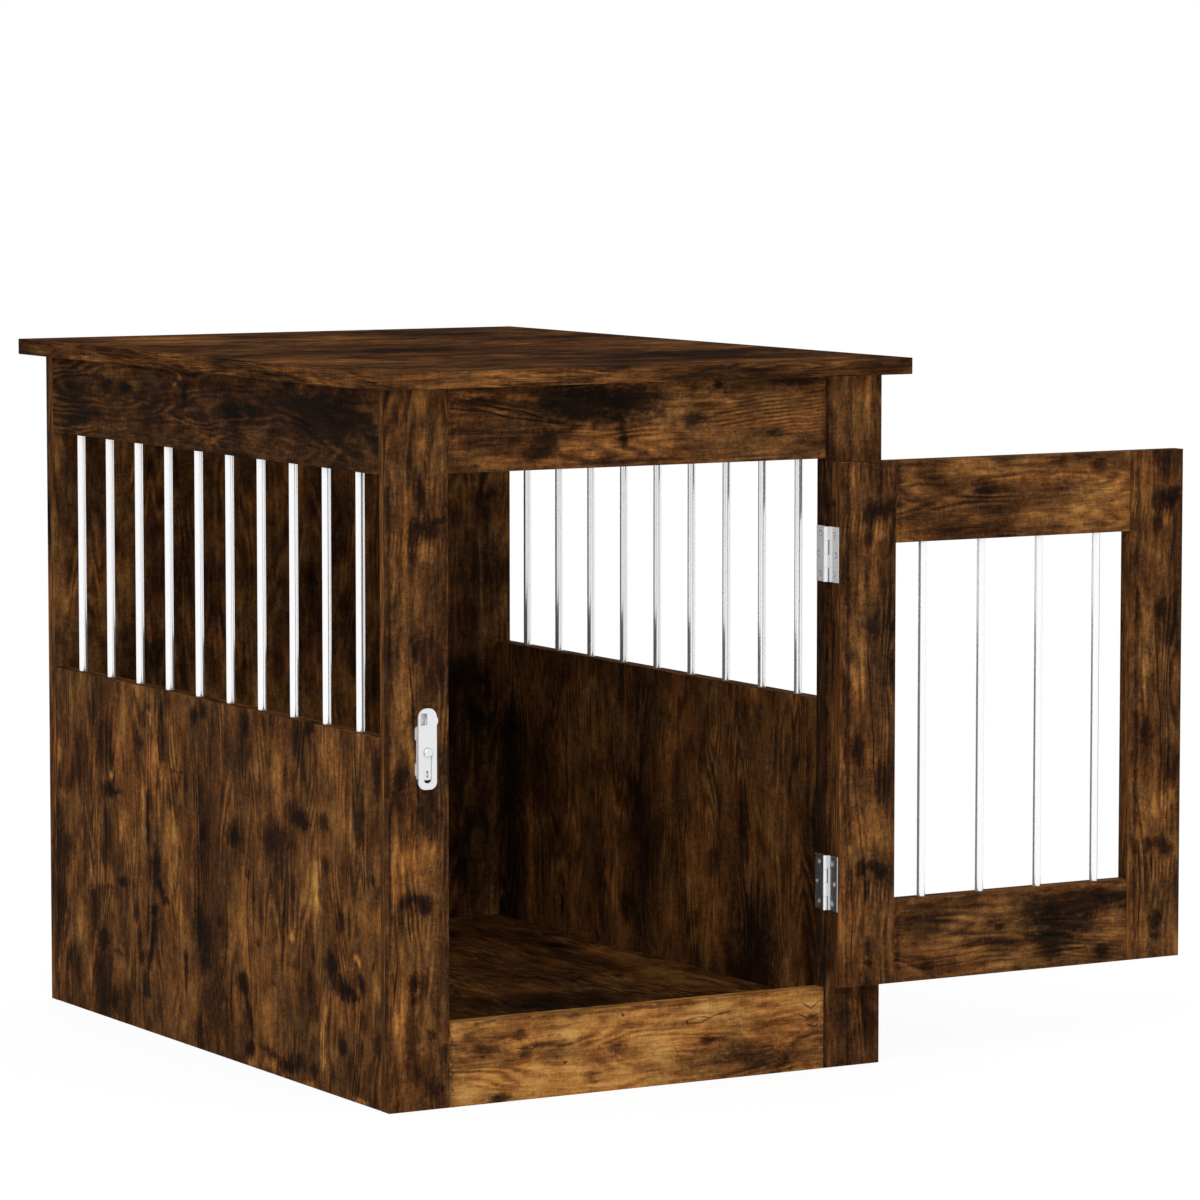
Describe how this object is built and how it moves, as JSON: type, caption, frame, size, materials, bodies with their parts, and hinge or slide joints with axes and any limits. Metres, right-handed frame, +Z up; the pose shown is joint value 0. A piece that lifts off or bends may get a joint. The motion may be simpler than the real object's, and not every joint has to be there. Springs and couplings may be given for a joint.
{
  "type": "dog crate end table",
  "caption": "End table in the form of a board crate with barred sides, a barred door on butt hinges and a swing latch.",
  "frame": {"origin": "on the floor, at the middle of the underside of the doorway's sill, the front bottom rail", "axes": "+X to the right seen from the front, +Y from the front to the back, +Z up; the door is open and lies along +X"},
  "size_m": [0.8508, 0.755, 0.65],
  "materials": {
    "smoked_oak": "matt faced board, dark smoked oak pattern",
    "bright_bar": "bright plated",
    "hinge_steel": "bright nickel plated",
    "latch_zinc": "satin silver",
    "spring_steel": "drawn wire",
    "beech_dowel": "plain beech"
  },
  "bodies": {
    "cabinet": {"back_panel": "smoked_oak", "floor_panel": "smoked_oak", "front_rail_bottom": "smoked_oak", "front_rail_top": "smoked_oak", "front_stile_left": "smoked_oak", "front_stile_right": "smoked_oak", "hinge_lower_frame_leaf": "hinge_steel", "hinge_lower_pin": "hinge_steel", "hinge_upper_frame_leaf": "hinge_steel", "hinge_upper_pin": "hinge_steel", "latch_base": "latch_zinc", "latch_pivot": "latch_zinc", "side_bar_left_01": "bright_bar", "side_bar_left_02": "bright_bar", "side_bar_left_03": "bright_bar", "side_bar_left_04": "bright_bar", "side_bar_left_05": "bright_bar", "side_bar_left_06": "bright_bar", "side_bar_left_07": "bright_bar", "side_bar_left_08": "bright_bar", "side_bar_left_09": "bright_bar", "side_bar_left_10": "bright_bar", "side_bar_right_01": "bright_bar", "side_bar_right_02": "bright_bar", "side_bar_right_03": "bright_bar", "side_bar_right_04": "bright_bar", "side_bar_right_05": "bright_bar", "side_bar_right_06": "bright_bar", "side_bar_right_07": "bright_bar", "side_bar_right_08": "bright_bar", "side_bar_right_09": "bright_bar", "side_bar_right_10": "bright_bar", "side_panel_left": "smoked_oak", "side_panel_right": "smoked_oak", "side_rail_left": "smoked_oak", "side_rail_right": "smoked_oak", "top_panel": "smoked_oak"},
    "door": {"door_bar_01": "bright_bar", "door_bar_02": "bright_bar", "door_bar_03": "bright_bar", "door_bar_04": "bright_bar", "door_dowel_hinge_bottom": "beech_dowel", "door_dowel_hinge_top": "beech_dowel", "door_dowel_latch_bottom": "beech_dowel", "door_dowel_latch_top": "beech_dowel", "door_rail_bottom": "smoked_oak", "door_rail_top": "smoked_oak", "door_stile_hinge": "smoked_oak", "door_stile_latch": "smoked_oak", "hinge_lower_door_leaf": "hinge_steel", "hinge_upper_door_leaf": "hinge_steel", "latch_keeper": "latch_zinc"},
    "latch_arm": {"latch_arm": "latch_zinc", "latch_spring": "spring_steel"},
    "latch_slider": {"latch_slider": "latch_zinc"}
  },
  "joints": [
    {"name": "door_swing", "type": "hinge", "parent": "cabinet", "child": "door", "pos_m": [0.1922, -0.0125, 0.31735], "axis": [0, 0, -1], "range_deg": [0, 180]},
    {"name": "latch_swing", "type": "hinge", "parent": "cabinet", "child": "latch_arm", "pos_m": [-0.2193, -0.0075, 0.29795], "axis": [0, 1, 0], "range_deg": [0, 90]},
    {"name": "latch_slide", "type": "slide", "parent": "latch_arm", "child": "latch_slider", "axis": [0, 0, -1], "range_m": [0, 0.0026], "stiffness_N_per_m": 300, "springref_m": -0.003, "deforming": ["latch_spring"]}
  ]
}
